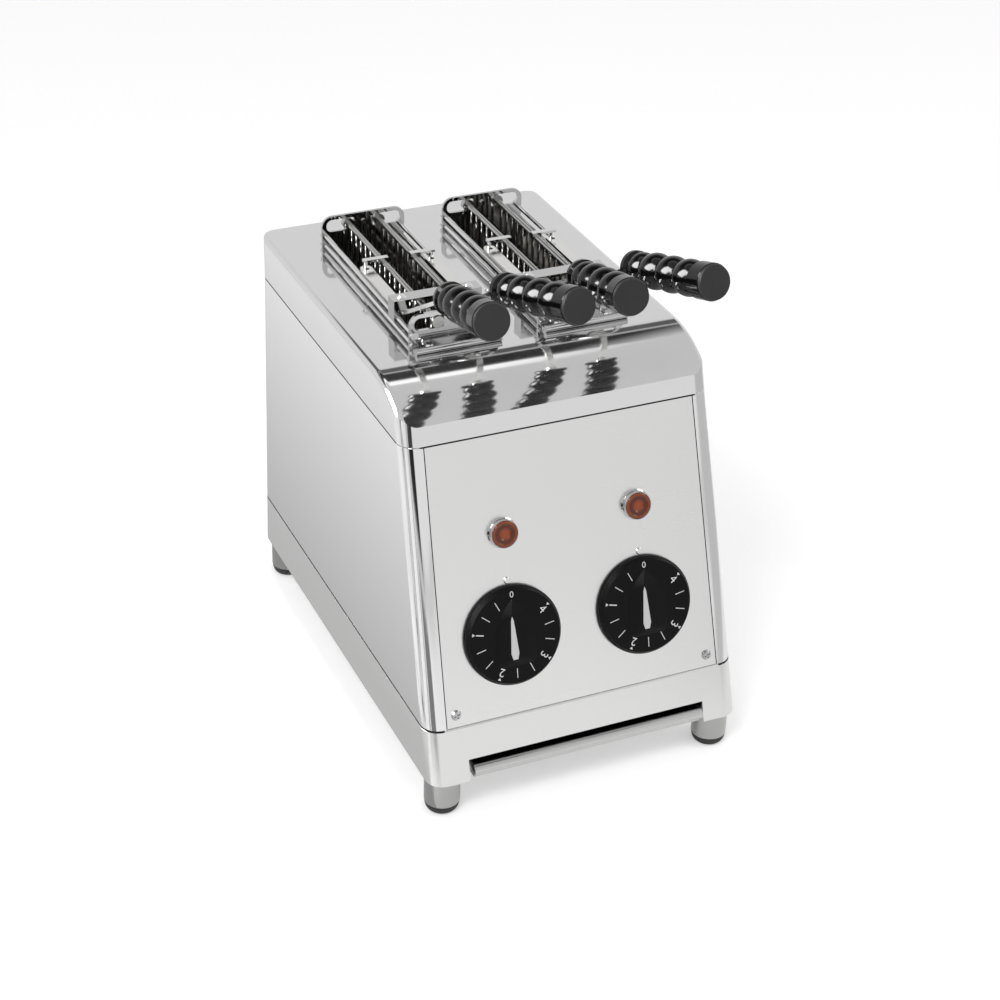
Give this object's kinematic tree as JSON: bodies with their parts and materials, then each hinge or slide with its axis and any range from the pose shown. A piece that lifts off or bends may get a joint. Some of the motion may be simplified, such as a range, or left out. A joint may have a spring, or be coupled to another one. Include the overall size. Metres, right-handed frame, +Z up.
{
  "type": "tong toaster",
  "caption": "Countertop tong toaster: sloped steel housing with deck slots, lift-out wire tongs on ribbed handles, timer dials, lamps and a pull-out crumb tray.",
  "frame": {"origin": "on the worktop under the middle of the overall box", "axes": "+X to the right seen from the front, +Y to the back, +Z up"},
  "size_m": [0.2088, 0.3296, 0.3373],
  "materials": {
    "satin_steel": "satin brushed",
    "polished_steel": "mirror polished",
    "bright_trim": "polished",
    "fastener_steel": "bright",
    "amber_lens": "clear amber",
    "knob_plastic": "fine matte",
    "timer_case": "plain",
    "black_rubber": "matte",
    "gland_plastic": "matte",
    "inner_steel": "plain",
    "reflector_sheet": "bright",
    "quartz_tube": "milky",
    "ceramic_cap": "glazed ceramic",
    "grip_plastic": "semi gloss",
    "cap_plastic": "fine matte",
    "bright_rod": "bright drawn",
    "spring_wire": "drawn",
    "tong_steel": "satin"
  },
  "bodies": {
    "housing": {"base_frame": "satin_steel", "body_wrap": "satin_steel", "back_panel": "satin_steel", "top_cover": "polished_steel", "front_panel": "satin_steel", "panel_screws": "fastener_steel", "lamp_bezels": "bright_trim", "lamp_lenses": "amber_lens", "left_timer": "timer_case", "right_timer": "timer_case", "foot_sleeves": "satin_steel", "foot_pads": "black_rubber", "cord_gland": "gland_plastic", "front_bulkhead": "inner_steel", "rear_bulkhead": "inner_steel", "heater_tubes": "quartz_tube", "heater_caps": "ceramic_cap", "reflectors": "reflector_sheet", "slot_guards": "inner_steel"},
    "left_dial": {"left_knob": "knob_plastic", "left_inlay": "bright_trim", "left_shaft": "fastener_steel"},
    "right_dial": {"right_knob": "knob_plastic", "right_inlay": "bright_trim", "right_shaft": "fastener_steel"},
    "tray": {"crumb_tray": "satin_steel"},
    "left_tong_frame": {"left_tong_rear_plate": "tong_steel", "left_tong_front_plate": "tong_steel", "left_tong_rails": "bright_rod", "left_tong_bridge": "tong_steel", "left_tong_pins": "bright_rod", "left_tong_springs": "spring_wire"},
    "left_tong_left_lever": {"left_tong_left_arm": "tong_steel", "left_tong_left_grip": "grip_plastic", "left_tong_left_cap": "cap_plastic"},
    "left_tong_left_comb": {"left_tong_left_jaw": "tong_steel", "left_tong_left_clip": "bright_rod"},
    "left_tong_right_lever": {"left_tong_right_arm": "tong_steel", "left_tong_right_grip": "grip_plastic", "left_tong_right_cap": "cap_plastic"},
    "left_tong_right_comb": {"left_tong_right_jaw": "tong_steel", "left_tong_right_clip": "bright_rod"},
    "right_tong_frame": {"right_tong_rear_plate": "tong_steel", "right_tong_front_plate": "tong_steel", "right_tong_rails": "bright_rod", "right_tong_bridge": "tong_steel", "right_tong_pins": "bright_rod", "right_tong_springs": "spring_wire"},
    "right_tong_left_lever": {"right_tong_left_arm": "tong_steel", "right_tong_left_grip": "grip_plastic", "right_tong_left_cap": "cap_plastic"},
    "right_tong_left_comb": {"right_tong_left_jaw": "tong_steel", "right_tong_left_clip": "bright_rod"},
    "right_tong_right_lever": {"right_tong_right_arm": "tong_steel", "right_tong_right_grip": "grip_plastic", "right_tong_right_cap": "cap_plastic"},
    "right_tong_right_comb": {"right_tong_right_jaw": "tong_steel", "right_tong_right_clip": "bright_rod"}
  },
  "joints": [
    {"name": "left_dial_turn", "type": "hinge", "parent": "housing", "child": "left_dial", "pos_m": [-0.0438, -0.13868, 0.10828], "axis": [0, 0.9603, -0.279], "range_deg": [0, 305]},
    {"name": "right_dial_turn", "type": "hinge", "parent": "housing", "child": "right_dial", "pos_m": [0.0438, -0.13868, 0.10828], "axis": [0, 0.9603, -0.279], "range_deg": [0, 305]},
    {"name": "tray_pull", "type": "slide", "parent": "housing", "child": "tray", "axis": [0, -1, 0], "range_m": [0, 0.25]},
    {"name": "left_tong_lift", "type": "slide", "parent": "housing", "child": "left_tong_frame", "axis": [0, 0, 1], "range_m": [0, 0.14]},
    {"name": "left_tong_left_squeeze", "type": "hinge", "parent": "left_tong_frame", "child": "left_tong_left_lever", "pos_m": [-0.0638, -0.0105, 0.2685], "axis": [0, 0, 1], "range_deg": [0, 5], "stiffness_Nm_per_rad": 0.8, "springref_deg": -8.59},
    {"name": "left_tong_left_jaw_slide", "type": "slide", "parent": "left_tong_frame", "child": "left_tong_left_comb", "axis": [-1, 0, 0], "range_m": [0, 0.0053]},
    {"name": "left_tong_right_squeeze", "type": "hinge", "parent": "left_tong_frame", "child": "left_tong_right_lever", "pos_m": [-0.0202, -0.0105, 0.2685], "axis": [0, 0, -1], "range_deg": [0, 5], "stiffness_Nm_per_rad": 0.8, "springref_deg": -8.59},
    {"name": "left_tong_right_jaw_slide", "type": "slide", "parent": "left_tong_frame", "child": "left_tong_right_comb", "axis": [1, 0, 0], "range_m": [0, 0.0053]},
    {"name": "right_tong_lift", "type": "slide", "parent": "housing", "child": "right_tong_frame", "axis": [0, 0, 1], "range_m": [0, 0.14]},
    {"name": "right_tong_left_squeeze", "type": "hinge", "parent": "right_tong_frame", "child": "right_tong_left_lever", "pos_m": [0.0202, -0.0105, 0.2685], "axis": [0, 0, 1], "range_deg": [0, 5], "stiffness_Nm_per_rad": 0.8, "springref_deg": -8.59},
    {"name": "right_tong_left_jaw_slide", "type": "slide", "parent": "right_tong_frame", "child": "right_tong_left_comb", "axis": [-1, 0, 0], "range_m": [0, 0.0053]},
    {"name": "right_tong_right_squeeze", "type": "hinge", "parent": "right_tong_frame", "child": "right_tong_right_lever", "pos_m": [0.0638, -0.0105, 0.2685], "axis": [0, 0, -1], "range_deg": [0, 5], "stiffness_Nm_per_rad": 0.8, "springref_deg": -8.59},
    {"name": "right_tong_right_jaw_slide", "type": "slide", "parent": "right_tong_frame", "child": "right_tong_right_comb", "axis": [1, 0, 0], "range_m": [0, 0.0053]}
  ],
  "couplings": [
    {"joint": "left_tong_right_squeeze", "follows": "left_tong_left_squeeze", "ratio": 1},
    {"joint": "left_tong_left_jaw_slide", "follows": "left_tong_left_squeeze", "m_per_rad": 0.060403},
    {"joint": "left_tong_right_jaw_slide", "follows": "left_tong_left_squeeze", "m_per_rad": 0.060403},
    {"joint": "right_tong_right_squeeze", "follows": "right_tong_left_squeeze", "ratio": 1},
    {"joint": "right_tong_left_jaw_slide", "follows": "right_tong_left_squeeze", "m_per_rad": 0.060403},
    {"joint": "right_tong_right_jaw_slide", "follows": "right_tong_left_squeeze", "m_per_rad": 0.060403}
  ]
}
